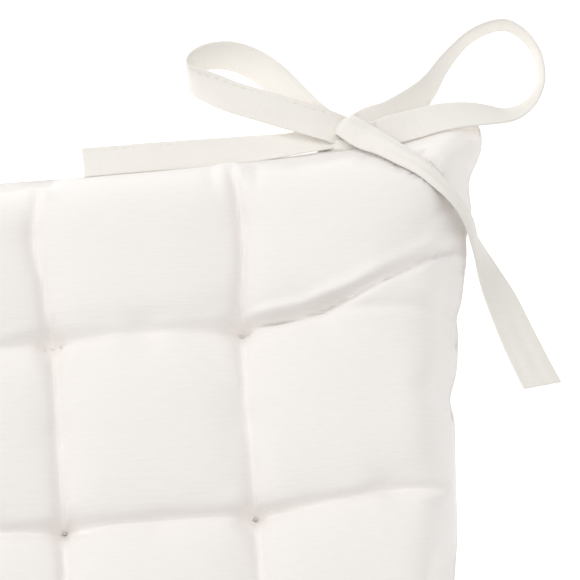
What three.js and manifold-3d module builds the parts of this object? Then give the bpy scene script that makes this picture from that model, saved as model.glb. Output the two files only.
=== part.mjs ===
// Tufted chair seat pad with a tie bow at each back corner.
// Millimetres, +Z up. The origin is the middle of the underside, on the seat:
// +X is the sitter's right, +Y points to the chair's back.
import * as THREE from 'three';
import { mergeVertices } from 'three/addons/utils/BufferGeometryUtils.js';
import Module from 'manifold-3d';

const wasm = await Module();
wasm.setup();

// ---- Driving sizes ----
const PAD_WIDTH = 443;          // corner to corner, left to right
const PAD_DEPTH = 401;          // corner to corner, front to back
const CORNER_FLARE = 34;        // how far a corner sticks out past the middle of its side
const BACK_FLARE = 13.5;        // the same on the front and back sides
const CROWN_HEIGHT = 44;        // top of a pillow above the seat
const SEAM_HEIGHT = 15;         // middle of the edge seam above the seat
const SIDE_ROUND = 64;          // width of the rounded edge that falls to the seam
const UNDER_ROUND = 48;         // the same on the underside, which lies flatter
const CLOTH = 1.2;              // panel cloth with its folded thickness
const GAP = 0.3;                // clearance between pieces that touch

const TUFTS_PER_SIDE = 4;
const TUFT_PITCH = 75;
const TUFT_TOP = 17;            // cloth height at a tuft, upper side
const TUFT_BOTTOM = 5;          // cloth height at a tuft, lower side
const GROOVE_HEIGHT = 30;       // cloth height halfway between two tufts
const PILLOW_STEPS = 4;         // mesh steps across one pillow

const THREAD = 1.2;             // tufting thread laid across the cloth
const THREAD_LEG = 1.6;         // doubled thread through the pad
const STITCH_LENGTH = 5;

const SEAM_BAND = 3;            // width of the sewn band between the panels
const SEAM_THICK = 0.8;
const CLOSING_LENGTH = 110;     // hand-closed stretch of the front edge
const CLOSING_THREAD = 1;

const TIE_WIDTH = 13;
const TIE_THICK = 1.2;
const TACK_LENGTH = 10;         // bar tack that holds both ties in the seam
const TACK_THREAD = 1.2;
const KNOT = { x: 161, y: 199.5, z: 12.5, long: 17, wide: 15, high: 13 };

// ---- Finishes ----
const finish = (color, roughness) => new THREE.MeshStandardMaterial({ color, roughness, metalness: 0 });
const PANEL_FINISH = finish(0xf1ede8, 0.92);
const FILLING_FINISH = finish(0xfbfbf9, 1.0);
const THREAD_FINISH = finish(0xe9e4db, 0.8);
const TIE_FINISH = finish(0xeae6df, 0.9);

const pad = new THREE.Group();

function addNode(name, geometry, material) {
  const mesh = new THREE.Mesh(geometry, material);
  mesh.name = name;
  pad.add(mesh);
  return mesh;
}

// ---- Joining and cutting ----
function toSolid(geometry) {
  const bare = geometry.clone();
  bare.deleteAttribute('normal');
  bare.deleteAttribute('uv');
  const merged = mergeVertices(bare, 1e-4);
  return new wasm.Manifold(new wasm.Mesh({
    numProp: 3,
    vertProperties: new Float32Array(merged.attributes.position.array),
    triVerts: new Uint32Array(merged.index.array),
  }));
}

function toGeometry(solid) {
  const { vertProperties, triVerts } = solid.getMesh();
  const geometry = new THREE.BufferGeometry();
  geometry.setAttribute('position', new THREE.BufferAttribute(new Float32Array(vertProperties), 3));
  geometry.setIndex(new THREE.BufferAttribute(new Uint32Array(triVerts), 1));
  return geometry;
}

// ---- Plan of the pad ----
const HALF_WIDTH = PAD_WIDTH / 2;
const HALF_DEPTH = PAD_DEPTH / 2;
const OUTER_TUFT = TUFT_PITCH * (TUFTS_PER_SIDE - 1) / 2;

// A side is waisted: full size at its corners, pulled in by the filling between them.
// The left and right sides curve all along; the front and back ones only near their ends.
const flare = (t, power) => 1 - Math.pow(Math.abs(t), power);
const sideX = (y) => HALF_WIDTH - CORNER_FLARE * flare(y / HALF_DEPTH, 2.2);
const sideY = (x) => HALF_DEPTH - BACK_FLARE * flare(x / HALF_WIDTH, 7);

// Grid lines that hit every tuft line, from one edge to the other.
function gridLines(halfSize) {
  const anchors = [-halfSize];
  for (let i = 0; i < TUFTS_PER_SIDE; i++) anchors.push(-OUTER_TUFT + i * TUFT_PITCH);
  anchors.push(halfSize);
  const lines = [];
  for (let i = 0; i + 1 < anchors.length; i++) {
    for (let k = 0; k < PILLOW_STEPS; k++) {
      lines.push(THREE.MathUtils.lerp(anchors[i], anchors[i + 1], k / PILLOW_STEPS));
    }
  }
  lines.push(halfSize);
  return lines;
}

const LINES_X = gridLines(HALF_WIDTH);
const LINES_Y = gridLines(HALF_DEPTH);

// 0 on a tuft line, 1 in the middle of a pillow and on to the edge outside the last line.
function swell(t) {
  const beyond = Math.abs(t) - OUTER_TUFT;
  if (beyond > 0) return Math.sin(Math.min(1, 2 * beyond / TUFT_PITCH) * Math.PI / 2);
  const across = (((t + OUTER_TUFT) / TUFT_PITCH) % 1 + 1) % 1;
  return Math.pow(Math.sin(Math.PI * across), 0.7);
}

// 0 on the outline, 1 once the rounded edge is passed: a quarter ellipse, which leaves
// each corner flat outside its arc.
function edgeRise(x, y, round) {
  const outX = Math.max(0, 1 - (HALF_WIDTH - Math.abs(x)) / round);
  const outY = Math.max(0, 1 - (HALF_DEPTH - Math.abs(y)) / round);
  return Math.sqrt(Math.max(0, 1 - outX * outX - outY * outY));
}

const TOP_EDGE = SEAM_HEIGHT + SEAM_THICK / 2 + GAP + CLOTH;
const BOTTOM_EDGE = SEAM_HEIGHT - SEAM_THICK / 2 - GAP - CLOTH;

function topHeight(x, y) {
  const a = swell(x);
  const b = swell(y);
  const line = a + b - a * b;
  const quilt = TUFT_TOP + (GROOVE_HEIGHT - TUFT_TOP) * line + (CROWN_HEIGHT - GROOVE_HEIGHT) * a * b;
  return TOP_EDGE + (quilt - TOP_EDGE) * edgeRise(x, y, SIDE_ROUND);
}

function bottomHeight(x, y) {
  const a = swell(x);
  const b = swell(y);
  const dimple = TUFT_BOTTOM * Math.max(0, 1 - 1.6 * (a + b - a * b));
  return BOTTOM_EDGE + (dimple - BOTTOM_EDGE) * edgeRise(x, y, UNDER_ROUND);
}

// Splits the underside's squares along the same diagonals as the upper side's, so that
// one sheet's underside fits the next sheet's upper side.
function matchDiagonals(box) {
  const underside = box.groups[5];
  for (let i = underside.start; i < underside.start + underside.count; i += 6) {
    const [a, b, d, , c] = box.index.array.slice(i, i + 6);
    box.index.array.set([a, b, c, a, c, d], i);
  }
}

// A closed sheet between two height functions, over the whole plan of the pad.
function layer(upper, lower) {
  const stepsX = LINES_X.length - 1;
  const stepsY = LINES_Y.length - 1;
  const box = new THREE.BoxGeometry(stepsX, stepsY, 1, stepsX, stepsY, 1);
  matchDiagonals(box);
  const at = box.attributes.position;
  for (let i = 0; i < at.count; i++) {
    const x = LINES_X[Math.round(at.getX(i) + stepsX / 2)];
    const y = LINES_Y[Math.round(at.getY(i) + stepsY / 2)];
    const height = at.getZ(i) > 0 ? upper(x, y) : lower(x, y);
    const edgeX = Math.max(0, (Math.abs(x) - OUTER_TUFT) / (HALF_WIDTH - OUTER_TUFT));
    const edgeY = Math.max(0, (Math.abs(y) - OUTER_TUFT) / (HALF_DEPTH - OUTER_TUFT));
    const drawnX = x * THREE.MathUtils.lerp(1, sideX(y) / HALF_WIDTH, edgeX);
    const drawnY = y * THREE.MathUtils.lerp(1, sideY(x) / HALF_DEPTH, edgeY);
    at.setXYZ(i, drawnX, drawnY, height);
  }
  return toSolid(box);
}

// ---- Tufts ----
function tuftPlaces() {
  const places = [];
  for (let row = 0; row < TUFTS_PER_SIDE; row++) {
    for (let column = 0; column < TUFTS_PER_SIDE; column++) {
      places.push({
        name: `tuft_r${row + 1}c${column + 1}`,
        x: -OUTER_TUFT + column * TUFT_PITCH,
        y: -OUTER_TUFT + row * TUFT_PITCH,
      });
    }
  }
  return places;
}

const TUFTS = tuftPlaces();

function tuftHoles() {
  const cutters = TUFTS.map(({ x, y }) => {
    const radius = THREAD_LEG / 2 + GAP;
    const cylinder = new THREE.CylinderGeometry(radius, radius, 2 * CROWN_HEIGHT, 6);
    cylinder.rotateX(Math.PI / 2);
    cylinder.translate(x, y, CROWN_HEIGHT / 2);
    return toSolid(cylinder);
  });
  return cutters.reduce((all, next) => all.add(next));
}

// How much the cloth rises over half a stitch, so that a straight stitch lies on it.
function riseAlong(height, x, y) {
  const step = TUFT_PITCH / PILLOW_STEPS;
  const slope = Math.abs(height(x + step, y) - height(x, y)) / step;
  return slope * STITCH_LENGTH / 2;
}

function tuftStitch({ x, y }) {
  const upper = topHeight(x, y) + riseAlong(topHeight, x, y) + GAP + THREAD;
  const lower = bottomHeight(x, y) - riseAlong(bottomHeight, x, y) - GAP - THREAD;
  const leg = new THREE.CylinderGeometry(THREAD_LEG / 2, THREAD_LEG / 2, upper - lower - THREAD, 6);
  leg.rotateX(Math.PI / 2);
  leg.translate(x, y, (upper + lower) / 2);
  const bars = [upper - THREAD / 2, lower + THREAD / 2].map((z) => {
    const bar = new THREE.CylinderGeometry(THREAD / 2, THREAD / 2, STITCH_LENGTH, 6);
    bar.rotateZ(Math.PI / 2);
    bar.translate(x, y, z);
    return toSolid(bar);
  });
  return toGeometry(toSolid(leg).add(bars[0]).add(bars[1]));
}

// ---- Cover and filling ----
function addCover() {
  const holes = tuftHoles();
  const top = layer(topHeight, (x, y) => topHeight(x, y) - CLOTH);
  const bottom = layer((x, y) => bottomHeight(x, y) + CLOTH, bottomHeight);
  const skin = CLOTH + GAP;
  const filling = layer((x, y) => topHeight(x, y) - skin, (x, y) => bottomHeight(x, y) + skin);
  const seamRoom = toSolid(edgeBand(-GAP, SEAM_BAND + GAP, 2 * SEAM_HEIGHT));
  addNode('top_panel', toGeometry(top.subtract(holes)), PANEL_FINISH);
  addNode('bottom_panel', toGeometry(bottom.subtract(holes)), PANEL_FINISH);
  addNode('fibre_filling', toGeometry(filling.subtract(seamRoom).subtract(holes)), FILLING_FINISH);
}

function outline(inset) {
  const alongX = (x) => x * (1 - inset / HALF_WIDTH);
  const alongY = (y) => y * (1 - inset / HALF_DEPTH);
  const points = [];
  const walk = (lines, place) => {
    for (const t of lines.slice(0, -1)) points.push(new THREE.Vector2(...place(t)));
  };
  walk(LINES_X, (x) => [alongX(x), -(sideY(x) - inset)]);
  walk(LINES_Y, (y) => [sideX(y) - inset, alongY(y)]);
  walk(LINES_X, (x) => [alongX(-x), sideY(x) - inset]);
  walk(LINES_Y, (y) => [-(sideX(y) - inset), alongY(-y)]);
  return points;
}

// A ring that follows the outline, between two insets, level with the seam.
function edgeBand(outer, inner, height) {
  const band = new THREE.Shape(outline(outer));
  band.holes.push(new THREE.Path(outline(inner)));
  const geometry = new THREE.ExtrudeGeometry(band, { depth: height, bevelEnabled: false });
  return geometry.translate(0, 0, SEAM_HEIGHT - height / 2);
}

function addEdgeSeam() {
  addNode('edge_seam', edgeBand(0, SEAM_BAND, SEAM_THICK), THREAD_FINISH);
}

function threadRod(length, thickness, x, y, z) {
  const rod = new THREE.CylinderGeometry(thickness / 2, thickness / 2, length, 8);
  rod.rotateZ(Math.PI / 2);
  rod.translate(x, y, z);
  return rod;
}

function addClosingStitch() {
  const y = -(sideY(CLOSING_LENGTH / 2) + GAP + CLOSING_THREAD / 2);
  addNode('closing_stitch', threadRod(CLOSING_LENGTH, CLOSING_THREAD, 0, y, SEAM_HEIGHT), THREAD_FINISH);
}

// ---- Tie bows ----
// A tape follows its points; the fourth number is how far it is rolled about its own
// run, in degrees: 0 lies flat, 90 stands on its edge.
class TapePath extends THREE.CatmullRomCurve3 {
  constructor(points) {
    super(points.map(([x, y, z]) => new THREE.Vector3(x, y, z)));
    this.rolls = points.map((point) => THREE.MathUtils.degToRad(point[3]));
  }

  rollAt(u) {
    const t = this.getUtoTmapping(u) * (this.rolls.length - 1);
    const i = Math.min(Math.floor(t), this.rolls.length - 2);
    return THREE.MathUtils.lerp(this.rolls[i], this.rolls[i + 1], t - i);
  }

  computeFrenetFrames(steps) {
    const frames = { tangents: [], normals: [], binormals: [] };
    const up = new THREE.Vector3(0, 0, 1);
    for (let i = 0; i <= steps; i++) {
      const tangent = this.getTangentAt(i / steps);
      const side = new THREE.Vector3().crossVectors(tangent, up).normalize();
      side.applyAxisAngle(tangent, this.rollAt(i / steps));
      frames.tangents.push(tangent);
      frames.normals.push(side);
      frames.binormals.push(new THREE.Vector3().crossVectors(tangent, side));
    }
    return frames;
  }
}

const TIE_SECTION = new THREE.Shape([
  [-0.5, -0.25], [-0.42, -0.5], [0.42, -0.5], [0.5, -0.25],
  [0.5, 0.25], [0.42, 0.5], [-0.42, 0.5], [-0.5, 0.25],
].map(([across, thick]) => new THREE.Vector2(across * TIE_WIDTH, thick * TIE_THICK)));

function tape(points, steps) {
  const extrudePath = new TapePath(points);
  return new THREE.ExtrudeGeometry(TIE_SECTION, { steps, extrudePath, bevelEnabled: false });
}

// The bow behind the right back corner. Loops start and end in the knot.
const BOW = {
  root_left: { steps: 3, points: [[155, 190.2, 14.6, 0], [155, 192.4, 12.2, 0], [156.2, 194.8, 10.6, 0]] },
  root_right: { steps: 3, points: [[168.2, 190.9, 14.6, 0], [168, 192.6, 11.6, 0], [164.5, 195, 10, 0]] },
  loop_left: {
    steps: 24,
    points: [
      [156.5, 202, 10.4, -12], [148, 208.8, 9.6, -14], [141, 217, 8.6, -16], [134, 226, 8, -22],
      [126, 233, 8, -30], [117, 236.8, 9, -38], [108, 237, 10, -52], [101, 234.5, 11, -72],
      [99, 230, 12, -90], [101.5, 225.5, 13.5, -128], [107.5, 221.5, 15, -150], [116.5, 216, 17, -162],
      [127, 211.2, 18.6, -166], [137, 207, 19.2, -168], [147, 203, 19.2, -172], [155.5, 200, 17.8, -178],
    ],
  },
  loop_right: {
    steps: 28,
    points: [
      [165, 200, 14.2, 4], [171, 201.8, 14.4, 8], [180, 204.4, 13.4, 18], [190.5, 211, 10.5, 40],
      [197.5, 218, 8.8, 60], [204.5, 227.5, 8, 74], [213.5, 236.5, 8, 82], [222, 241, 8, 86],
      [231, 242, 8, 90], [238.5, 236.5, 8, 90], [243, 227, 8, 86], [242.6, 215.5, 9, 78],
      [237, 206.4, 11.5, 62], [229, 201.4, 14.5, 46], [219.5, 200, 19, 32], [209, 200, 20.8, 20],
      [199, 199.6, 20.6, 12], [189.5, 198, 19.8, 8], [180.5, 196.4, 19.6, 4], [172.5, 195.2, 19, 0],
      [167, 197.2, 16.8, 0],
    ],
  },
  tail_left: {
    steps: 10,
    points: [
      [162, 196.8, 14.4, -162], [151, 196.4, 14.6, -158], [138, 195, 14.2, -152], [122, 194.2, 14, -165],
      [101, 193.8, 14, -175], [81, 193.8, 14.2, -176], [65, 193.6, 14.3, -170], [53.5, 193.4, 14.5, -168],
    ],
  },
  tail_right: {
    steps: 24,
    points: [
      [161.1, 199.2, 20.2, 0], [163.6, 196.8, 21.8, 0], [168.6, 192.6, 23, 0], [174.5, 188, 26.2, -4],
      [181, 181.8, 30.6, -12], [189.6, 174.2, 34, -26], [195.4, 167.6, 34, -40], [200.2, 161.6, 32, -60],
      [205.4, 154.4, 26, -64], [209.2, 146.4, 16, -58], [213.8, 136.5, 8, -36], [218.8, 124.8, 3.8, -12],
      [224.2, 109.2, 2.1, 0], [229.4, 95.4, 1.8, 0], [232, 89, 1.8, 0],
    ],
  },
};

function knotGeometry(grow) {
  const knot = new THREE.SphereGeometry(1, 10, 8);
  knot.rotateX(Math.PI / 2);
  knot.scale(KNOT.long / 2 + grow, KNOT.wide / 2 + grow, KNOT.high / 2 + grow);
  knot.translate(KNOT.x, KNOT.y, KNOT.z);
  return knot;
}

// side is 1 for the right bow and -1 for its mirror image at the left corner.
function mirrored(geometry, side) {
  if (side > 0) return geometry;
  return toGeometry(toSolid(geometry).mirror([1, 0, 0]));
}

function addBow(corner, side) {
  const knotRoom = toSolid(knotGeometry(GAP));
  for (const [stretch, { points, steps }] of Object.entries(BOW)) {
    const clear = toSolid(tape(points, steps)).subtract(knotRoom);
    addNode(`${corner}_tie_${stretch}`, mirrored(toGeometry(clear), side), TIE_FINISH);
  }
  addNode(`${corner}_tie_knot`, mirrored(knotGeometry(0), side), TIE_FINISH);
  const tackY = sideY(KNOT.x + TACK_LENGTH / 2) + GAP + TACK_THREAD / 2;
  const tackZ = SEAM_HEIGHT + TIE_THICK + TACK_THREAD;
  const tack = threadRod(TACK_LENGTH, TACK_THREAD, side * KNOT.x, tackY, tackZ);
  addNode(`${corner}_tie_tack`, tack, THREAD_FINISH);
}

addCover();
addEdgeSeam();
addClosingStitch();
for (const place of TUFTS) addNode(place.name, tuftStitch(place), THREAD_FINISH);
addBow('right', 1);
addBow('left', -1);

export default pad;
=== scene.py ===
"""Tufted chair seat pad with a tie bow at each back corner, in metres."""

import math

import bmesh
import bpy
import numpy as np
from mathutils import Matrix, Vector, noise


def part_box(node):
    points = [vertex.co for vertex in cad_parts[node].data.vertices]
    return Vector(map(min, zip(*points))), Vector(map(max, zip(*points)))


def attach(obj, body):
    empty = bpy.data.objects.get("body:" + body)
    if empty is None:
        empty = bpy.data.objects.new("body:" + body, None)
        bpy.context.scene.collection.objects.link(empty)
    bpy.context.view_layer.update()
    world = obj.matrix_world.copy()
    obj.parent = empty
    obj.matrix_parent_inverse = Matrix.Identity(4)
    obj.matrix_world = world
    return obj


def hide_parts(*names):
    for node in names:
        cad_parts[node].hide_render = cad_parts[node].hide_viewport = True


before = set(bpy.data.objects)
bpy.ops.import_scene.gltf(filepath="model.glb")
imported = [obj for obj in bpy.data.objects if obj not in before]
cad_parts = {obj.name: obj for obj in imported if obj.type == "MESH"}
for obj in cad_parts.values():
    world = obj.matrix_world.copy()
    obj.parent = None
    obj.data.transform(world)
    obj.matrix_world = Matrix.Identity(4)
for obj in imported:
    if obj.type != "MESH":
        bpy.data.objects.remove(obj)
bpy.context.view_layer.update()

MM = 0.001

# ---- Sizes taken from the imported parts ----
TOP_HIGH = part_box("top_panel")[1]
SEAM_LOW, SEAM_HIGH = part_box("edge_seam")
# the filled corners stand out a little further than the plain solid's
CORNER = (TOP_HIGH.x + 1.5 * MM, TOP_HIGH.y + 3.5 * MM)
HALF_WIDTH = TOP_HIGH.x - 8.5 * MM
HALF_DEPTH = TOP_HIGH.y - 13.5 * MM
SEAM_Z = (SEAM_LOW.z + SEAM_HIGH.z) / 2
TUFT_NODES = [f"tuft_r{row}c{column}" for row in range(1, 5) for column in range(1, 5)]
TUFTS = [sum(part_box(node), Vector()) / 2 for node in TUFT_NODES]
TUFT_LINES = sorted({round(tuft.x, 5) for tuft in TUFTS})
OUTER_TUFT = TUFT_LINES[-1]
PITCH = TUFT_LINES[1] - TUFT_LINES[0]


def nearness_to_back_middle(node):
    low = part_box(node)[0]
    return low.y * 10 - abs(low.x - PITCH / 2)


# one tuft's bar is long enough to show two needle holes
PAIRED_TUFT = max(TUFT_NODES, key=nearness_to_back_middle)

# ---- The cover's shape ----
SIDE_WAIST = 31.5 * MM
BACK_WAIST = 17 * MM
CROWN_Z = 41 * MM
GROOVE_Z = 34 * MM
TUFT_Z = 27 * MM
TUFT_UNDER_Z = 5 * MM
SIDE_ROUND = 21 * MM
BACK_ROUND = 23 * MM
CORNER_ROUND = 25 * MM
BACK_LIP = 5 * MM
PANEL_EDGE = 0.15 * MM
PANEL_STEPS = (104, 96)
CLOTH_GROWTH = 0.022
CLOTH_THICKNESS = 0.9 * MM
COVER_CUT = (2 * HALF_WIDTH * (1 + CLOTH_GROWTH), 2 * HALF_DEPTH * (1 + CLOTH_GROWTH))
RIB_WIDTH = 0.9 * MM
# the thin pressed lines of the grooves stop this far out to the side
PRESSED_GROOVE_X = 190 * MM
GROOVE_END_Y = 197 * MM
GROOVE_END_X = 216 * MM
FOLD_BEND = (145 * MM, 117 * MM)
FOLD_END = (206 * MM, 145 * MM)

# ---- The ties ----
TIE_WIDTH = 13 * MM
TIE_THICKNESS = 1.1 * MM
ROUTE_STEP = 1.2 * MM
STITCH_LINE = 0.74
TAIL_SLANT = 2.2 * MM
KNOT_HALF = Vector((8.8, 4.4, 4.6)) * MM
# cloth is pressed down only where a tie runs over the pad, in front of this line
PRESSED_BACK_TO = 203 * MM
PRESSED_AROUND = 22 * MM
PRESSED_SLOPE = 1.8
BELOW_TAPE = 1.3 * MM


# ==== Camera, light and floor ====
CAMERA_TARGET = Vector((0.1332, 0.1310, 0.022))
CAMERA_AZIMUTH = math.radians(-4.4)
CAMERA_ELEVATION = math.radians(73.4)
CAMERA_DISTANCE = 1.5


def away(azimuth, elevation):
    flat = math.cos(elevation)
    return Vector((math.sin(azimuth) * flat, -math.cos(azimuth) * flat, math.sin(elevation)))


def add_camera():
    data = bpy.data.cameras.new("camera")
    data.sensor_width = 36
    data.lens = 232.8
    camera = bpy.data.objects.new("camera", data)
    bpy.context.collection.objects.link(camera)
    back = away(CAMERA_AZIMUTH, CAMERA_ELEVATION)
    camera.location = CAMERA_TARGET + back * CAMERA_DISTANCE
    camera.rotation_euler = (-back).to_track_quat("-Z", "Y").to_euler()
    bpy.context.scene.camera = camera


def add_softbox(name, place, aim, size, power):
    data = bpy.data.lights.new(name, "AREA")
    data.shape = "SQUARE"
    data.size = size
    data.energy = power
    light = bpy.data.objects.new(name, data)
    bpy.context.collection.objects.link(light)
    light.location = place
    light.rotation_euler = (Vector(aim) - Vector(place)).to_track_quat("-Z", "Y").to_euler()


def add_studio():
    scene = bpy.context.scene
    scene.view_settings.view_transform = "Standard"
    world = bpy.data.worlds.new("studio")
    world.use_nodes = True
    world.node_tree.nodes["Background"].inputs["Color"].default_value = (1.0, 0.995, 0.985, 1)
    world.node_tree.nodes["Background"].inputs["Strength"].default_value = 0.5
    scene.world = world
    add_softbox("key", (-1.2, 1.2, 1.4), (0.1, 0.05, 0), 1.5, 14)
    add_softbox("overhead", (0.1, 0.1, 2.2), (0.1, 0.1, 0), 2.6, 21)
    floor_mesh = bpy.data.meshes.new("floor")
    bm = bmesh.new()
    bmesh.ops.create_grid(bm, x_segments=1, y_segments=1, size=6)
    bm.to_mesh(floor_mesh)
    bm.free()
    floor = bpy.data.objects.new("floor", floor_mesh)
    floor.location.z = -0.3 * MM
    bpy.context.collection.objects.link(floor)
    white = bpy.data.materials.new("white_floor")
    white.use_nodes = True
    shader = white.node_tree.nodes["Principled BSDF"]
    shader.inputs["Base Color"].default_value = (0.9, 0.9, 0.9, 1)
    shader.inputs["Roughness"].default_value = 1
    shader.inputs["Emission Color"].default_value = (1, 1, 1, 1)
    shader.inputs["Emission Strength"].default_value = 0.55
    floor_mesh.materials.append(white)


# ==== Finishes ====
class Recipe:
    """A material's node tree, built one node at a time."""

    def __init__(self, name, roughness, sheen=0.0):
        self.material = bpy.data.materials.new(name)
        self.material.use_nodes = True
        self.tree = self.material.node_tree
        self.shader = self.tree.nodes["Principled BSDF"]
        self.shader.inputs["Roughness"].default_value = roughness
        self.shader.inputs["Sheen Weight"].default_value = sheen
        self.shader.inputs["Specular IOR Level"].default_value = 0.25

    def node(self, kind, **settings):
        node = self.tree.nodes.new(kind)
        for key, value in settings.items():
            setattr(node, key, value)
        return node

    def link(self, source, target):
        self.tree.links.new(source, target)

    def stretched(self, source, scale):
        mapping = self.node("ShaderNodeMapping")
        mapping.inputs["Scale"].default_value = scale
        self.link(source, mapping.inputs["Vector"])
        return mapping.outputs["Vector"]

    def noise(self, place, scale, detail=2.0, roughness=0.5):
        node = self.node("ShaderNodeTexNoise")
        node.inputs["Scale"].default_value = scale
        node.inputs["Detail"].default_value = detail
        node.inputs["Roughness"].default_value = roughness
        self.link(place, node.inputs["Vector"])
        return node.outputs["Fac"]

    def ramp(self, factor, low, high, low_color=(0, 0, 0, 1), high_color=(1, 1, 1, 1)):
        node = self.node("ShaderNodeValToRGB")
        node.color_ramp.elements[0].position = low
        node.color_ramp.elements[0].color = low_color
        node.color_ramp.elements[1].position = high
        node.color_ramp.elements[1].color = high_color
        self.link(factor, node.inputs["Fac"])
        return node.outputs["Color"]

    def math(self, operation, first, second):
        node = self.node("ShaderNodeMath", operation=operation)
        for socket, value in zip(node.inputs, (first, second)):
            if isinstance(value, (int, float)):
                socket.default_value = value
            else:
                self.link(value, socket)
        return node.outputs["Value"]

    def mix(self, factor, first, second):
        node = self.node("ShaderNodeMix", data_type="RGBA")
        for name, value in (("Factor", factor), ("A", first), ("B", second)):
            named = [s for s in node.inputs if s.name == name]
            socket = next(s for s in named if name == "Factor" or s.type == "RGBA")
            if isinstance(value, (int, float, tuple)):
                socket.default_value = value
            else:
                self.link(value, socket)
        return next(s for s in node.outputs if s.type == "RGBA")

    def bump(self, height, strength, distance):
        node = self.node("ShaderNodeBump")
        node.inputs["Strength"].default_value = strength
        node.inputs["Distance"].default_value = distance
        self.link(height, node.inputs["Height"])
        self.link(node.outputs["Normal"], self.shader.inputs["Normal"])


def slub_cotton(name, light, shade, cut, slub_strength=1.0):
    """Plain-woven cotton with thick slubs along its weft; cut is the flat size in metres."""
    recipe = Recipe(name, 0.93, 0.25)
    recipe.shader.inputs["Sheen Roughness"].default_value = 0.6
    uv = recipe.node("ShaderNodeUVMap", uv_map="cut").outputs["UV"]
    place = recipe.stretched(uv, (cut[0], cut[1], 1))
    # weft ribs, broken up by slubs that run across the cloth
    weft = recipe.noise(recipe.stretched(place, (130, 1 / RIB_WIDTH, 1)), 1.0, 1.0, 0.5)
    slubs = recipe.ramp(recipe.noise(recipe.stretched(place, (95, 760, 1)), 1.0, 0.0), 0.56, 0.74)
    warp = recipe.noise(recipe.stretched(place, (1900, 160, 1)), 1.0, 1.0)
    cloud = recipe.noise(place, 18.0, 3.0)
    grain = recipe.math("ADD", recipe.math("MULTIPLY", weft, 0.8), recipe.math("MULTIPLY", warp, 0.25))
    height = recipe.math("ADD", grain, recipe.math("MULTIPLY", slubs, 0.45 * slub_strength))
    tone = recipe.math("ADD", recipe.math("MULTIPLY", weft, 0.6), recipe.math("MULTIPLY", cloud, 0.4))
    tone = recipe.ramp(tone, 0.3, 0.72)
    base = recipe.mix(tone, shade, light)
    recipe.link(base, recipe.shader.inputs["Base Color"])
    recipe.bump(height, 0.2, 0.35 * MM)
    return recipe.material


def spun_thread(name, light, shade):
    """Two-ply sewing thread, its twist read from the piece's own place."""
    recipe = Recipe(name, 0.75, 0.1)
    place = recipe.node("ShaderNodeTexCoord").outputs["Object"]
    twist = recipe.node("ShaderNodeTexWave", wave_type="BANDS", bands_direction="DIAGONAL")
    twist.inputs["Scale"].default_value = 900
    twist.inputs["Distortion"].default_value = 1.5
    recipe.link(place, twist.inputs["Vector"])
    recipe.link(recipe.mix(twist.outputs["Fac"], shade, light), recipe.shader.inputs["Base Color"])
    recipe.bump(twist.outputs["Fac"], 0.5, 0.15 * MM)
    return recipe.material


def loose_fibre(name):
    """Crimped polyester fibre, matted together."""
    recipe = Recipe(name, 1.0, 0.4)
    place = recipe.node("ShaderNodeTexCoord").outputs["Object"]
    wisps = recipe.noise(recipe.stretched(place, (260, 900, 400)), 1.0, 6.0, 0.7)
    white = recipe.mix(wisps, (0.8, 0.8, 0.79, 1), (0.95, 0.95, 0.94, 1))
    recipe.link(white, recipe.shader.inputs["Base Color"])
    recipe.bump(wisps, 0.8, 0.8 * MM)
    return recipe.material


# ==== Pieces and meshes ====
def new_piece(name, bm, material):
    """A smooth-shaded object from the mesh, with its finish, riding on the pad."""
    mesh = bpy.data.meshes.new(name)
    bm.to_mesh(mesh)
    bm.free()
    mesh.materials.append(material)
    mesh.polygons.foreach_set("use_smooth", [True] * len(mesh.polygons))
    piece = bpy.data.objects.new(name, mesh)
    bpy.context.collection.objects.link(piece)
    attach(piece, "root")
    return piece


def places_of(mesh):
    flat = np.empty(len(mesh.vertices) * 3)
    mesh.vertices.foreach_get("co", flat)
    return flat.reshape(-1, 3)


def move_to(mesh, places):
    mesh.vertices.foreach_set("co", places.reshape(-1))
    mesh.update()


def from_segment(x, y, start, end):
    """Distance from points to a straight segment, and how far along it they lie."""
    run_x, run_y = end[0] - start[0], end[1] - start[1]
    along = ((x - start[0]) * run_x + (y - start[1]) * run_y) / (run_x ** 2 + run_y ** 2)
    along = np.clip(along, 0, 1)
    return np.hypot(x - start[0] - along * run_x, y - start[1] - along * run_y), along


# ==== Ties ====
# Each point is x, y and z in millimetres, the roll in degrees (0 flat, 90 on its edge) and
# the share of its full width that the tape keeps where the knot gathers it.
LEFT_LOOP_TIE = [
    (155, 190.2, 14.6, 0, 1), (155, 192.4, 12.2, 0, 0.8), (156.2, 194.8, 10.6, 0, 0.6),
    (159.5, 199.5, 10.8, -6, 0.6), (156.5, 202, 10.4, -12, 0.8), (148, 208.8, 9.6, -14, 0.95),
    (141, 217, 8.6, -16, 1), (134, 226, 8, -22, 1),
    (126, 233, 8, -30, 1), (117, 236.8, 9, -38, 1), (108, 237, 10, -52, 1), (101, 234.5, 11, -72, 1),
    (99, 230, 12, -90, 1), (101.5, 225.5, 13.5, -128, 1), (107.5, 221.5, 15, -150, 1),
    (116.5, 216, 17, -162, 1),
    (127, 211.2, 18.6, -166, 1), (137, 207, 19.2, -168, 1), (147, 203, 19.2, -172, 1),
    (155.5, 200, 17.8, -178, 1), (163, 197.2, 13.6, -180, 1), (168, 195, 12.8, -178, 0.85),
    (168.6, 194, 12.4, -172, 0.6), (162, 196.8, 14.4, -162, 0.8),
    (151, 196.4, 14.6, -158, 0.95), (138, 195, 14.2, -152, 1), (122, 194.2, 14, -165, 1),
    (101, 193.8, 14, -175, 1),
    (81, 193.8, 14.2, -176, 1), (65, 193.6, 14.3, -170, 1.04), (53.5, 193.4, 14.5, -168, 1.06),
]
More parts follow.
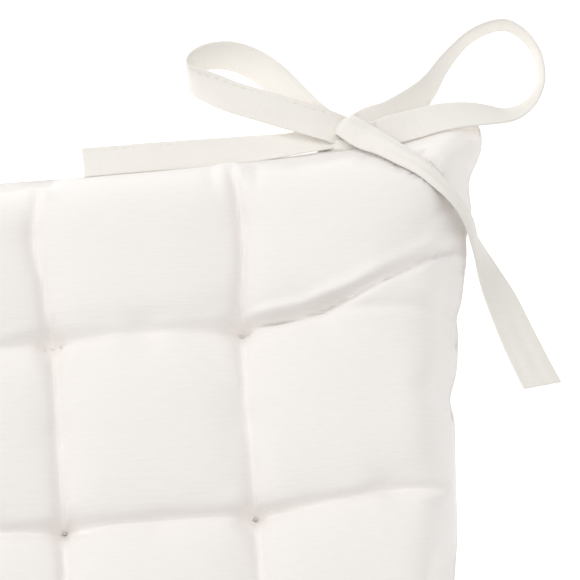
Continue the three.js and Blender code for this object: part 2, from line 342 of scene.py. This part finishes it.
RIGHT_LOOP_TIE = [
    (168.2, 190.9, 14.6, 0, 1), (168, 192.6, 11.6, 0, 0.8), (164.5, 195, 10, 0, 0.6),
    (162, 197, 12.4, 0, 0.6),
    (165, 200, 14.2, 4, 0.8), (171, 201.8, 14.4, 8, 1), (180, 204.4, 13.4, 18, 1),
    (190.5, 211, 10.5, 40, 1),
    (197.5, 218, 8.8, 60, 1), (204.5, 227.5, 8, 74, 1), (213.5, 236.5, 8, 82, 1), (222, 241, 8, 86, 1),
    (231, 242, 8, 90, 1), (238.5, 236.5, 8, 90, 1), (243, 227, 8, 86, 1), (242.6, 215.5, 9, 78, 1),
    (237, 206.4, 11.5, 62, 1), (229, 201.4, 14.5, 46, 1), (219.5, 200, 19, 32, 1), (209, 200, 20.8, 20, 1),
    (199, 199.6, 20.6, 12, 1), (189.5, 198, 19.8, 8, 1), (180.5, 196.4, 19.6, 4, 1),
    (172.5, 195.2, 19, 0, 0.9),
    (167, 197.2, 16.8, 0, 0.82), (162.8, 197.4, 15.6, 0, 0.8), (160.9, 199.3, 17.4, 0, 0.8),
    (161.1, 199.2, 20.2, 0, 0.82), (163.6, 196.8, 21.8, 0, 0.86),
    (168.6, 192.6, 23, 0, 0.86), (174.5, 188, 26.2, -4, 0.76), (181, 181.8, 30.6, -12, 0.7),
    (189.6, 174.2, 34, -26, 0.66), (195.4, 167.6, 34, -40, 0.64), (200.2, 161.6, 32, -60, 0.68),
    (205.4, 154.4, 26, -64, 0.78), (209.2, 146.4, 16, -58, 0.9), (213.8, 136.5, 8, -36, 1),
    (218.8, 124.8, 3.8, -12, 1.06), (224.2, 109.2, 2.1, 0, 1.12), (229.4, 95.4, 1.8, 0, 1.16),
    (232, 89, 1.8, 0, 1.16),
]


def smooth_route(points):
    """A Catmull-Rom curve through the points: places in metres, with roll and width."""
    knots = np.array(points, float)
    knots[:, :3] *= MM
    knots = np.vstack([2 * knots[0] - knots[1], knots, 2 * knots[-1] - knots[-2]])
    rows = []
    for i in range(1, len(knots) - 2):
        before, start, end, after = knots[i - 1:i + 3]
        steps = max(2, int(np.linalg.norm(end[:3] - start[:3]) / ROUTE_STEP))
        for t in np.arange(steps) / steps:
            rows.append(0.5 * (2 * start + (end - before) * t
                               + (2 * before - 5 * start + 4 * end - after) * t ** 2
                               + (3 * start - before - 3 * end + after) * t ** 3))
    rows.append(knots[-2])
    return np.array(rows)


def tape_frames(route):
    """For each step: the place, the direction across the tape and the direction off its face."""
    runs = np.gradient(route[:, :3], axis=0)
    frames = []
    level = Vector((0, 0, 0))
    for (x, y, z, roll, width), run in zip(route, runs):
        tangent = Vector(run).normalized()
        side = tangent.cross(Vector((0, 0, 1)))
        # where the tape turns over on itself the side stays the same way round
        if side.length < 0.35 and level.length > 0:
            side = level - tangent * level.dot(tangent)
        if side.dot(level) < 0:
            side = -side
        side.normalize()
        level = side.copy()
        side.rotate(Matrix.Rotation(math.radians(roll), 3, tangent))
        frames.append((Vector((x, y, z)), side, tangent.cross(side), width))
    return frames


def tie_tape(name, points, side, material, nodes, end_slant=0.0):
    """A folded cotton tape along a route; side is 1 at the right corner, -1 at the left."""
    route = smooth_route(points)
    frames = tape_frames(route)
    across_steps = 14
    last = len(frames) - 1
    bm = bmesh.new()
    bm.loops.layers.uv.new("cut")
    bmesh.ops.create_grid(bm, x_segments=across_steps, y_segments=last, size=1, calc_uvs=True)
    for vert in bm.verts:
        across = vert.co.x
        step = round((vert.co.y + 1) / 2 * last)
        place, over, off, width = frames[step]
        run = step * ROUTE_STEP
        wave = noise.noise(Vector((across * 0.6 + 7 * side, run * 70, len(points))))
        crown = min(2.2, 0.1 + 11 * max(0, 1 - width)) * MM * (1 - across ** 2)
        groove = -0.16 * MM * math.exp(-((across - STITCH_LINE) / 0.07) ** 2)
        gathered = 1.1 * MM * (1 - width) * math.sin(across * 7)
        lift = crown + groove + gathered + 0.28 * MM * wave
        vert.co = place + over * (across * width * TIE_WIDTH / 2) + off * lift
        slant = end_slant * across * max(0, 1 - (last - step) / 6)
        vert.co += over.cross(off) * slant
    if side < 0:
        bmesh.ops.scale(bm, vec=(-1, 1, 1), verts=bm.verts[:])
        bmesh.ops.reverse_faces(bm, faces=bm.faces[:])
    tape = new_piece(name, bm, material)
    wall = tape.modifiers.new("folded thickness", "SOLIDIFY")
    wall.thickness = TIE_THICKNESS
    wall.offset = 0
    edges = tape.modifiers.new("soft edges", "SUBSURF")
    edges.levels = edges.render_levels = 1
    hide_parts(*nodes)
    stitches = tie_stitches(f"{name}_stitching", frames, side)


def tie_stitches(name, frames, side):
    """The edge stitching of a folded tape, on both of its faces."""
    bm = bmesh.new()
    for face in (1, -1):
        for start in range(3, len(frames) - 3, 3):
            here, over, off, width = frames[start]
            there = frames[start + 2][0]
            if width < 0.9:
                continue
            run = (there - here).normalized()
            middle = (here + there) / 2 + over * (STITCH_LINE * width * TIE_WIDTH / 2)
            middle = middle + off * (face * 0.46 * TIE_THICKNESS)
            turn = Matrix((over, off, run)).transposed().to_4x4()
            place = Matrix.Translation(middle) @ turn
            place = place @ Matrix.Diagonal((0.2 * MM, 0.16 * MM, 0.95 * MM, 1))
            bmesh.ops.create_icosphere(bm, subdivisions=1, radius=1, matrix=place)
    if side < 0:
        bmesh.ops.scale(bm, vec=(-1, 1, 1), verts=bm.verts[:])
        bmesh.ops.reverse_faces(bm, faces=bm.faces[:])
    return new_piece(name, bm, THREAD)


def knot_core(name, node, material):
    """The first crossing of the two ties, which shows only under the front of the bow."""
    low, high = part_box(node)
    middle = Vector(((low.x + high.x) / 2, low.y + 0.2 * MM, (low.z + high.z) / 2 + 0.4 * MM))
    bm = bmesh.new()
    bm.loops.layers.uv.new("cut")
    bmesh.ops.create_uvsphere(bm, u_segments=40, v_segments=24, radius=1, calc_uvs=True)
    for vert in bm.verts:
        unit = vert.co.copy()
        folds = 1 + 0.06 * math.sin(unit.x * 4 + unit.y * 9) + 0.05 * noise.noise(unit * 3)
        vert.co = Vector([a * b * folds for a, b in zip(unit, KNOT_HALF)]) + middle
    return new_piece(name, bm, material)


def add_bow(corner, side, material):
    """Both ties of one back corner, with their knot and the tack that holds them."""
    def stretch(*names):
        return [f"{corner}_tie_{name}" for name in names]

    tie_tape(f"{corner}_left_loop_tie", LEFT_LOOP_TIE, side, material,
             stretch("root_left", "loop_left", "tail_left"))
    tie_tape(f"{corner}_right_loop_tie", RIGHT_LOOP_TIE, side, material,
             stretch("root_right", "loop_right", "tail_right"), TAIL_SLANT)
    core = knot_core(f"{corner}_knot_core", f"{corner}_tie_knot", material)
    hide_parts(f"{corner}_tie_knot")
    bar_tack(f"{corner}_bar_tack", f"{corner}_tie_tack")


def bar_tack(name, node):
    """Dense zigzag that holds the ties in the seam."""
    low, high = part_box(node)
    bm = bmesh.new()
    count = 16
    for i in range(count):
        x = low.x + (high.x - low.x) * (i + 0.5) / count
        lean = 0.35 if i % 2 else -0.35
        place = Matrix.Translation((x, (low.y + high.y) / 2, (low.z + high.z) / 2 - 0.8 * MM))
        place = place @ Matrix.Rotation(lean, 4, "Y") @ Matrix.Diagonal((0.3 * MM, 0.3 * MM, 1.6 * MM, 1))
        bmesh.ops.create_icosphere(bm, subdivisions=1, radius=1, matrix=place)
    tack = new_piece(name, bm, THREAD)
    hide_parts(node)


# ==== Cover ====
def bowed(start, end, bow):
    """Two straight runs from start to end, their meeting point pushed sideways by bow."""
    run = np.subtract(end, start)
    across = np.array((-run[1], run[0])) / np.linalg.norm(run)
    middle = (np.array(start) + end) / 2 + across * bow
    return [(tuple(start), tuple(middle)), (tuple(middle), tuple(end))]


def groove_lines():
    """Where the cover dips between pillows: from tuft to tuft and out to the edges."""
    lines = []
    outer = OUTER_TUFT
    for at in TUFT_LINES:
        for a, b in zip(TUFT_LINES, TUFT_LINES[1:]):
            lines += bowed((a, at), (b, at), 2 * MM * noise.noise(Vector((a * 40, at * 40, 1))))
            lines += bowed((at, a), (at, b), 3 * MM * noise.noise(Vector((a * 40, at * 40, 7))))
        back_bow = -4 * MM if at > PITCH else 4 * MM
        lines += bowed((at, outer), (at - 1 * MM, GROOVE_END_Y), back_bow)
        lines += bowed((at, -outer), (at, -GROOVE_END_Y), 3 * MM)
        lines += bowed((-outer, at), (-GROOVE_END_X, at), 2 * MM)
        if at < outer:
            lines += bowed((outer, at), (GROOVE_END_X, at + 6 * MM), 2 * MM)
    # the fold that runs up to the right from the last tuft
    lines.append(((outer, outer), FOLD_BEND))
    lines.append((FOLD_BEND, FOLD_END))
    return lines


GROOVES = groove_lines()

# Where the side seams are drawn in: distance from the middle of the side, depth and width.
SIDE_PUCKERS = [(159, 4.4, 9), (137, 1.8, 4), (106, 1.6, 4), (76, 2.8, 5), (2, 3.4, 16)]


def plan(flat_x, flat_y):
    """The pad's plan: a rectangle with round corners, its sides drawn in between them."""
    across, along = flat_x / HALF_WIDTH, flat_y / HALF_DEPTH
    # round the rectangle's corners
    x, y = across * CORNER[0], along * CORNER[1]
    past_x = np.clip(abs(x) - CORNER[0] + CORNER_ROUND, 0, None)
    past_y = np.clip(abs(y) - CORNER[1] + CORNER_ROUND, 0, None)
    reach = np.maximum(past_x, past_y) / np.maximum(np.hypot(past_x, past_y), 1e-9)
    cut = np.where(np.minimum(past_x, past_y) > 0, (1 - reach), 0)
    x, y = x - np.sign(x) * past_x * cut, y - np.sign(y) * past_y * cut
    # draw the sides in, without moving the tufts
    edge_x = np.clip((abs(x) - OUTER_TUFT) / (CORNER[0] - OUTER_TUFT), 0, 1)
    edge_y = np.clip((abs(y) - OUTER_TUFT) / (CORNER[1] - OUTER_TUFT), 0, 1)
    puckers = sum(depth * np.exp(-((abs(flat_y) / MM - at) / width) ** 2)
                  for at, depth, width in SIDE_PUCKERS)
    waist_x = SIDE_WAIST * (1 - abs(along) ** 2.2) + puckers * MM
    waist_y = BACK_WAIST * (1 - abs(across) ** 4)
    return x - np.sign(x) * waist_x * edge_x, y - np.sign(y) * waist_y * edge_y


def groove_distance(x, y):
    """Distance to the nearest groove, with the pillows' corners rounded off."""
    softness = 2.5 * MM
    total = sum(np.exp(-from_segment(x, y, *line)[0] / softness) for line in GROOVES)
    return np.maximum(0, -softness * np.log(total + 1e-12))


def edge_rise(x, y, lip=0.0):
    """0 at the seam, and at the lip inside it, to 1 a little way in."""
    out_x = np.clip(1 - (HALF_WIDTH - abs(x)) / SIDE_ROUND, 0, 1)
    out_y = np.clip(1 - (HALF_DEPTH - abs(y) - lip) / BACK_ROUND, 0, 1)
    out = (out_x ** 3 + out_y ** 3) ** (1 / 3)
    return np.sqrt(np.clip(1 - out ** 2, 0, 1))


def back_lip(flat_x, flat_y):
    """How far the seam lies flat beyond the pillows at the middle of the back."""
    return np.where(flat_y > 0, BACK_LIP * np.clip((62 * MM - abs(flat_x)) / (25 * MM), 0, 1), 0)


def spread(share, half):
    """Places of the mesh's lines along a side, closer together where the tufts are."""
    fine = np.linspace(-half, half, 2001)
    density = 1 + sum(1.1 * np.exp(-((fine - line) / (8 * MM)) ** 2) for line in TUFT_LINES)
    travelled = np.concatenate([[0], np.cumsum((density[1:] + density[:-1]) / 2)])
    return np.interp(share, travelled / travelled[-1] * 2 - 1, fine)


def tuft_distance(x, y):
    """Distance to the nearest tuft."""
    return np.min([np.hypot(x - tuft.x, y - tuft.y) for tuft in TUFTS], axis=0)


def top_height(flat_x, flat_y):
    """The upper cloth before it is filled: quilted, and falling to the seam."""
    x, y = plan(flat_x, flat_y)
    near = np.clip(groove_distance(x, y) / (0.3 * PITCH), 0, 1)
    swell = np.sqrt(1 - (1 - near) ** 2)
    groove = TUFT_Z + (GROOVE_Z - TUFT_Z) * np.clip(tuft_distance(x, y) / (0.4 * PITCH), 0, 1) ** 0.7
    quilt = groove + (CROWN_Z - groove) * swell
    edge = SEAM_Z + PANEL_EDGE
    return edge + (quilt - edge) * edge_rise(flat_x, flat_y, back_lip(flat_x, flat_y))


def under_height(flat_x, flat_y):
    """The lower cloth: almost flat on the seat, lifted along the grooves and at the tufts."""
    x, y = plan(flat_x, flat_y)
    near = np.clip(groove_distance(x, y) / (0.3 * PITCH), 0, 1)
    dimple = np.clip(1 - tuft_distance(x, y) / (0.22 * PITCH), 0, 1) ** 2
    quilt = 1.5 * MM * (1 - near) + (TUFT_UNDER_Z - 1.5 * MM) * dimple
    edge = SEAM_Z - PANEL_EDGE
    return edge + (quilt - edge) * edge_rise(flat_x, flat_y)


def inflate(panel, pinned):
    """Cloth under pressure from the filling, held at its seam and its tufts."""
    held = panel.vertex_groups.new(name="held")
    held.add([int(i) for i in pinned], 1.0, "REPLACE")
    cloth = panel.modifiers.new("cloth", "CLOTH")
    cotton = cloth.settings
    cotton.quality = 6
    cotton.mass = 0.15
    cotton.tension_stiffness = 15
    cotton.compression_stiffness = 15
    cotton.shear_stiffness = 5
    cotton.bending_stiffness = 0.5
    cotton.air_damping = 1
    cotton.use_pressure = True
    cotton.uniform_pressure_force = 4
    cotton.effector_weights.gravity = 0
    cotton.vertex_group_mass = "held"
    cotton.shrink_min = cotton.shrink_max = -CLOTH_GROWTH
    last_frame = 16
    cloth.point_cache.frame_start = 1
    cloth.point_cache.frame_end = last_frame
    for step in range(1, last_frame + 1):
        bpy.context.scene.frame_set(step)
    shown = panel.evaluated_get(bpy.context.evaluated_depsgraph_get())
    settled = np.array(places_of(shown.data))
    panel.modifiers.remove(cloth)
    panel.vertex_groups.remove(held)
    bpy.context.scene.frame_set(1)
    return settled


def even_out(panel, pinned):
    """Lets the pillows' cloth settle smooth, away from the seam, the grooves and the tufts."""
    bm = bmesh.new()
    bm.from_mesh(panel.data)
    places = np.array(places_of(panel.data))
    clear_of_grooves = 4.5 * MM
    rounds = 14
    open_cloth = groove_distance(places[:, 0], places[:, 1]) > clear_of_grooves
    verts = [vert for vert in bm.verts if open_cloth[vert.index] and vert.index not in pinned]
    for _ in range(rounds):
        bmesh.ops.smooth_vert(bm, verts=verts, factor=0.5, use_axis_z=True)
    bm.to_mesh(panel.data)
    bm.free()


def cover_panel(name, height, facing, tuft_z, material):
    """One side of the cover, from its flat cut to its filled shape."""
    bm = bmesh.new()
    bm.loops.layers.uv.new("cut")
    steps_x, steps_y = PANEL_STEPS
    bmesh.ops.create_grid(bm, x_segments=steps_x, y_segments=steps_y, size=1, calc_uvs=True)
    if facing < 0:
        bmesh.ops.reverse_faces(bm, faces=bm.faces[:])
    panel = new_piece(name, bm, material)
    unit = places_of(panel.data)
    flat_x, flat_y = spread(unit[:, 0], HALF_WIDTH), spread(unit[:, 1], HALF_DEPTH)
    corners = np.empty(len(panel.data.loops), int)
    panel.data.loops.foreach_get("vertex_index", corners)
    cut = np.stack([flat_x / HALF_WIDTH + 1, flat_y / HALF_DEPTH + 1], axis=1) / 2
    panel.data.uv_layers["cut"].data.foreach_set("uv", cut[corners].reshape(-1))
    x, y = plan(flat_x, flat_y)
    places = np.stack([x, y, height(flat_x, flat_y)], axis=1)
    on_edge = np.nonzero(np.maximum(abs(unit[:, 0]), abs(unit[:, 1])) > 0.9999)[0]
    pinned = list(on_edge)
    if facing > 0:
        lip = back_lip(flat_x, flat_y)
        pinned.extend(np.nonzero((HALF_DEPTH - flat_y < lip) & (lip > 1 * MM))[0])
    for tuft in TUFTS:
        near = np.argsort(np.hypot(x - tuft.x, y - tuft.y))[:5]
        places[near, 2] = tuft_z
        pinned.extend(near)
    move_to(panel.data, places)
    move_to(panel.data, inflate(panel, pinned))
    even_out(panel, set(pinned))
    return panel


def finer(panel):
    """Halves the mesh spacing, so that small creases can be pressed in."""
    smooth = panel.modifiers.new("finer", "SUBSURF")
    smooth.levels = smooth.render_levels = 1
    shown = panel.evaluated_get(bpy.context.evaluated_depsgraph_get())
    mesh = bpy.data.meshes.new_from_object(shown)
    panel.modifiers.remove(smooth)
    panel.data = mesh


# Small creases that run in from the edge: start, end, depth and width, near the right back corner.
CREASES = [
    ((104.5, 182), (106.5, 166), 2.2, 1.9), ((123.5, 183), (123.5, 167), 1.8, 1.8),
    ((168, 184), (166, 172), 1.8, 2.0), ((199, 161), (186, 147), 2.6, 1.9),
    ((203, 136), (192, 133), 2.0, 1.9), ((198, 105), (187, 107), 2.4, 2.0),
    ((196, 75), (186, 77), 2.6, 2.2),
]
# Folds in the open cover: places along it, depth, width and how far the cloth swells above it.
FOLDS = [
    ([(108, 113), (138, 115.5), (158, 121), (180, 131), (204, 144)], 3.4, 1.15, 2.1),
    ([(138, 117), (192, 114.5)], 0.8, 2.0, 0.4),
]


def press_creases(panel):
    """Presses the creases, the folds and a thin line along every groove into the cloth."""
    places = np.array(places_of(panel.data))
    x, y = places[:, 0].copy(), places[:, 1].copy()
    for start, end, depth, width in CREASES:
        away_from, along = from_segment(x, y, np.array(start) * MM, np.array(end) * MM)
        fade = 1 - along ** 2
        places[:, 2] -= depth * MM * fade * np.exp(-(away_from / (width * MM)) ** 2)
    for points, depth, width, swell in FOLDS:
        bends = np.array(points) * MM
        away_from = np.min([from_segment(x, y, *pair)[0] for pair in zip(bends, bends[1:])], axis=0)
        begin = np.clip((x - bends[0, 0]) / (25 * MM), 0, 1)
        begin = begin * (3 - 2 * begin) * np.clip((bends[-1, 0] + 3 * MM - x) / (3 * MM), 0, 1)
        above = y > np.interp(x, bends[:, 0], bends[:, 1])
        places[:, 2] -= depth * MM * begin * np.exp(-(away_from / (width * MM)) ** 2)
        swelling = np.exp(-((away_from / MM - 3.5 * width) / (2 * width)) ** 2)
        places[:, 2] += swell * MM * begin * swelling * above
    nearest = np.min([from_segment(x, y, *line)[0] for line in GROOVES], axis=0)
    inside_x = np.clip((PRESSED_GROOVE_X - abs(x)) / (12 * MM), 0, 1)
    inside_y = np.clip((HALF_DEPTH - abs(y)) / (12 * MM), 0, 1)
    inside = inside_y * inside_x
    places[:, 2] -= 1.1 * MM * inside * np.exp(-(nearest / (1.3 * MM)) ** 2)
    move_to(panel.data, places)


def press_under(panel, points, side):
    """Sinks the cloth where a tied tape lies tight on it."""
    places = np.array(places_of(panel.data))
    for place, over, _, width in tape_frames(smooth_route(points))[::2]:
        if place.y > PRESSED_BACK_TO or place.z < SEAM_Z + 2 * MM:
            continue
        reach = width * TIE_WIDTH / 2
        flat = np.array((over.x * side, over.y))
        flat_length = max(np.linalg.norm(flat), 0.3)
        from_x, from_y = places[:, 0] - place.x * side, places[:, 1] - place.y
        near = np.nonzero(from_x ** 2 + from_y ** 2 < PRESSED_AROUND ** 2)[0]
        near_x, near_y = from_x[near], from_y[near]
        sideways = (near_x * flat[0] + near_y * flat[1]) / flat_length
        sideways = sideways / flat_length
        off_line = near_x ** 2 + near_y ** 2 - (sideways * flat_length) ** 2
        lengthwise = np.sqrt(np.clip(off_line, 0, None))
        under_tape = place.z + over.z * np.clip(sideways, -reach, reach) - BELOW_TAPE
        past_side = np.clip(abs(sideways) - reach - 0.5 * MM, 0, None) * flat_length
        past_end = np.clip(lengthwise - 3 * MM, 0, None)
        limit = under_tape + (past_side + past_end) * PRESSED_SLOPE
        places[near, 2] = np.minimum(places[near, 2], np.maximum(limit, SEAM_Z))
    move_to(panel.data, places)


def press_under_bows(panel):
    for side in (1, -1):
        press_under(panel, RIGHT_LOOP_TIE, side)


def rest_on_seat(panel):
    """Nothing of the underside goes through the seat."""
    places = np.array(places_of(panel.data))
    places[:, 2] = np.maximum(places[:, 2], CLOTH_THICKNESS * 0.05)
    move_to(panel.data, places)


def finish_panel(panel, node):
    """Gives the cloth its thickness and hides the plain part it stands in for."""
    wall = panel.modifiers.new("cloth thickness", "SOLIDIFY")
    wall.thickness = CLOTH_THICKNESS
    wall.offset = -1
    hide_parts(node)


def add_filling(top, bottom):
    """The fibre body, a little inside both panels."""
    gap = 3 * MM
    steps_x, steps_y = (count // 2 for count in PANEL_STEPS)
    bm = bmesh.new()
    for panel, sign in ((top, -1), (bottom, 1)):
        rows = places_of(panel.data).reshape(PANEL_STEPS[1] + 1, PANEL_STEPS[0] + 1, 3)
        made = bmesh.ops.create_grid(bm, x_segments=steps_x, y_segments=steps_y, size=1)["verts"]
        for vert in made:
            column = 2 * round((vert.co.x + 1) / 2 * steps_x)
            row = 2 * round((vert.co.y + 1) / 2 * steps_y)
            around = rows[max(0, row - 2):row + 3, max(0, column - 2):column + 3, 2]
            x, y, z = rows[row, column]
            z = around.min() - gap if sign < 0 else around.max() + gap
            vert.co = (x * 0.98, y * 0.98, z)
        if sign > 0:
            faces = list({face for vert in made for face in vert.link_faces})
            bmesh.ops.reverse_faces(bm, faces=faces)
        for vert in made:
            if vert.is_boundary:
                vert.co.z = SEAM_Z - sign * 0.3 * MM
            elif sign > 0:
                vert.co.z = min(vert.co.z, SEAM_Z - 0.5 * MM)
            else:
                vert.co.z = max(vert.co.z, SEAM_Z + 0.5 * MM)
    rim = [edge for edge in bm.edges if edge.is_boundary]
    bmesh.ops.bridge_loops(bm, edges=rim)
    bmesh.ops.recalc_face_normals(bm, faces=bm.faces[:])
    body = new_piece("fibre_filling_body", bm, loose_fibre("loose_fibre"))
    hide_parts("fibre_filling")


def add_seam_allowance(material):
    """The folded edge of both panels inside the seam, all the way round."""
    steps_x, steps_y = PANEL_STEPS
    turned_in = 0.985
    bm = bmesh.new()
    bm.loops.layers.uv.new("cut")
    bmesh.ops.create_grid(bm, x_segments=steps_x, y_segments=steps_y, size=1, calc_uvs=True)
    inner = [face for face in bm.faces
             if abs(face.calc_center_median().x) < 1 - 3 / steps_x
             and abs(face.calc_center_median().y) < 1 - 3 / steps_y]
    bmesh.ops.delete(bm, geom=inner, context="FACES")
    band = new_piece("seam_allowance", bm, material)
    unit = places_of(band.data)
    x, y = plan(spread(unit[:, 0], HALF_WIDTH), spread(unit[:, 1], HALF_DEPTH))
    move_to(band.data, np.stack([x * turned_in, y * turned_in, np.full(len(x), SEAM_Z)], axis=1))
    wall = band.modifiers.new("two layers", "SOLIDIFY")
    wall.thickness = 2 * CLOTH_THICKNESS
    wall.offset = 0
    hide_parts("edge_seam")


# ==== Threads ====
def thread_along(bm, places, radius, segments=8):
    """A round thread swept through places by extruding one ring."""
    ring = None
    last = len(places) - 1
    for i, place in enumerate(places):
        run = (places[min(i + 1, last)] - places[max(i - 1, 0)]).normalized()
        turn = run.to_track_quat("Z", "Y").to_matrix().to_4x4()
        here = Matrix.Translation(place) @ turn
        made = bmesh.ops.create_circle(bm, cap_ends=i in (0, last), segments=segments, radius=radius,
                                       matrix=here)
        edges = list({edge for vert in made["verts"] for edge in vert.link_edges})
        if ring is not None:
            bmesh.ops.bridge_loops(bm, edges=ring + edges)
        ring = edges


def needle_step(index):
    """From the middle of a tuft to the place where its thread goes back down."""
    spread_out = (0.35 + 1.2 * abs(noise.noise(Vector((index * 1.7, 0.3, 5))))) * MM
    if TUFT_NODES[index] == PAIRED_TUFT:
        spread_out = 3.2 * MM
    lean = 0.35 * noise.noise(Vector((index * 2.3, 4, 1)))
    return Vector((math.cos(lean), math.sin(lean), 0)) * spread_out


def from_tuft(vert, tuft):
    return math.hypot(vert.co.x - tuft.x, vert.co.y - tuft.y)


def pull_in(panel, facing):
    """Small funnels where the tufting thread goes through the cloth."""
    bm = bmesh.new()
    bm.from_mesh(panel.data)
    close = 5.5 * MM
    for tuft in TUFTS:
        inner = {vert for vert in bm.verts if from_tuft(vert, tuft) < close}
        near = [vert for vert in bm.verts if vert in inner]
        edges = list({edge for vert in near for edge in vert.link_edges if edge.other_vert(vert) in inner})
        bmesh.ops.subdivide_edges(bm, edges=edges, cuts=2, use_grid_fill=True, smooth=0)
    for vert in bm.verts:
        for index, tuft in enumerate(TUFTS):
            if from_tuft(vert, tuft) > 3 * close:
                continue
            step = needle_step(index)
            for sign in (1, -1):
                gap = from_tuft(vert, tuft + sign * step) / MM
                hole = 1.8 * math.exp(-(gap / 0.5) ** 2)
                dimple = 0.7 * math.exp(-(gap / 2.6) ** 2)
                vert.co.z -= facing * (hole + dimple) * MM
    bm.to_mesh(panel.data)
    bm.free()
    panel.data.polygons.foreach_set("use_smooth", [True] * len(panel.data.polygons))


def tuft_thread(index, node, top_z, under_z):
    """A through-stitch: a short doubled bar on each side and its strands through the pad."""
    middle = TUFTS[index]
    across = needle_step(index)
    bm = bmesh.new()
    for sign in (1, -1):
        shift = Vector((-across.y, across.x, 0)).normalized() * (0.2 * MM * sign)
        upper, lower = top_z - 0.1 * MM, under_z + 0.1 * MM
        loop = []
        for t in np.linspace(-1, 1, 13):
            sink = 3.4 * MM * abs(t) ** 8
            loop.append(Vector((middle.x, middle.y, upper - sink)) + across * float(t) + shift)
        for t in np.linspace(1, -1, 13):
            sink = 3.0 * MM * abs(t) ** 8
            loop.append(Vector((middle.x, middle.y, lower + sink)) + across * float(t) + shift)
        loop.append((loop[0] + loop[-1]) / 2)
        loop.insert(0, loop[-1].copy())
        thread_along(bm, loop, 0.2 * MM)
    bmesh.ops.recalc_face_normals(bm, faces=bm.faces[:])
    thread = new_piece(f"tuft_thread_{node[5:]}", bm, THREAD)
    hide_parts(node)


def add_tufts(top, bottom):
    """A stitch at every tuft, from the upper cloth to the lower."""
    for index, node in enumerate(TUFT_NODES):
        heights = []
        for panel in (top, bottom):
            places = places_of(panel.data)
            near = np.argmin(np.hypot(places[:, 0] - TUFTS[index].x, places[:, 1] - TUFTS[index].y))
            heights.append(places[near, 2])
        tuft_thread(index, node, heights[0], heights[1])


def add_closing_stitches():
    """Small slanted hand stitches where the front edge was closed after filling."""
    low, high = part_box("closing_stitch")
    bm = bmesh.new()
    count = 28
    for i in range(count):
        x = low.x + (high.x - low.x) * (i + 0.5) / count
        place = Matrix.Translation((x, high.y + 0.1 * MM, SEAM_Z))
        place = place @ Matrix.Rotation(0.5, 4, "Y") @ Matrix.Diagonal((0.24 * MM, 0.24 * MM, 1.5 * MM, 1))
        bmesh.ops.create_icosphere(bm, subdivisions=1, radius=1, matrix=place)
    stitches = new_piece("closing_stitches", bm, THREAD)
    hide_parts("closing_stitch")


# ==== Making ====
add_camera()
COVER = slub_cotton("slub_cotton", (0.93, 0.897, 0.872, 1), (0.905, 0.868, 0.84, 1), COVER_CUT)
TIE_CUT = (0.03, 0.36)
TIE = slub_cotton("tie_cotton", (0.87, 0.844, 0.80, 1), (0.845, 0.815, 0.768, 1), TIE_CUT, 0.5)
THREAD = spun_thread("sewing_thread", (0.9, 0.87, 0.83, 1), (0.8, 0.77, 0.72, 1))

add_bow("right", 1, TIE)
add_bow("left", -1, TIE)

top_cloth = cover_panel("top_cover", top_height, 1, TUFT_Z - 1 * MM, COVER)
bottom_cloth = cover_panel("bottom_cover", under_height, -1, TUFT_UNDER_Z + 1 * MM, COVER)
rest_on_seat(bottom_cloth)
press_under_bows(top_cloth)
add_filling(top_cloth, bottom_cloth)
finer(top_cloth)
finer(bottom_cloth)
press_creases(top_cloth)
press_under_bows(top_cloth)
rest_on_seat(bottom_cloth)
add_tufts(top_cloth, bottom_cloth)
pull_in(top_cloth, 1)
pull_in(bottom_cloth, -1)
finish_panel(top_cloth, "top_panel")
finish_panel(bottom_cloth, "bottom_panel")
add_closing_stitches()

add_seam_allowance(COVER)

add_studio()
